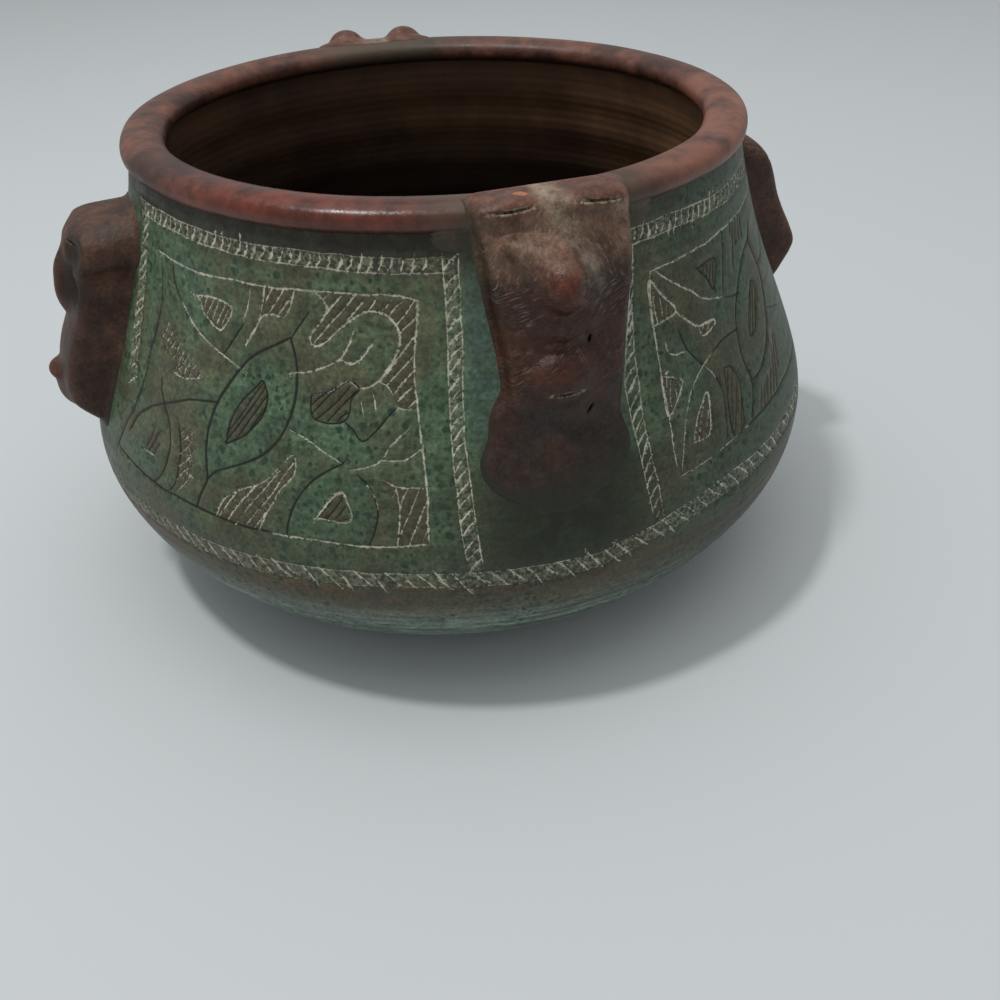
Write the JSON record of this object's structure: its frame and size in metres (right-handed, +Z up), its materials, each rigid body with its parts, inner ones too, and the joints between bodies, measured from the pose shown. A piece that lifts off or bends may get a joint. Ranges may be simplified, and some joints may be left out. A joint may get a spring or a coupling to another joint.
{
  "type": "face vessel",
  "caption": "Round-bellied earthenware bowl with a rolled rim, incised panels and modelled effigy faces on its wall, to hold things or stand as an ornament.",
  "frame": {"origin": "centre of the flat base, on the surface that the vessel stands on", "axes": "+Z up along the axis of the bowl; the front face looks along -Y, the right one along +X"},
  "size_m": [0.2754, 0.254, 0.155],
  "materials": {
    "green_slip": "burnished slip, semi-matte",
    "red_slip": "burnished slip, soft gloss",
    "brown_clay": "burnished clay, semi-matte"
  },
  "bodies": {
    "root": {"vessel_body": "green_slip", "rim_coil": "red_slip", "front_face_pad": "brown_clay", "front_face_nose": "brown_clay", "front_face_mouth": "brown_clay", "front_face_left_eye": "brown_clay", "front_face_right_eye": "brown_clay", "right_face_pad": "brown_clay", "right_face_nose": "brown_clay", "right_face_mouth": "brown_clay", "right_face_left_eye": "brown_clay", "right_face_right_eye": "brown_clay", "back_face_pad": "brown_clay", "back_face_nose": "brown_clay", "back_face_mouth": "brown_clay", "back_face_left_eye": "brown_clay", "back_face_right_eye": "brown_clay", "left_face_pad": "brown_clay", "left_face_nose": "brown_clay", "left_face_mouth": "brown_clay", "left_face_left_eye": "brown_clay", "left_face_right_eye": "brown_clay"}
  },
  "joints": []
}
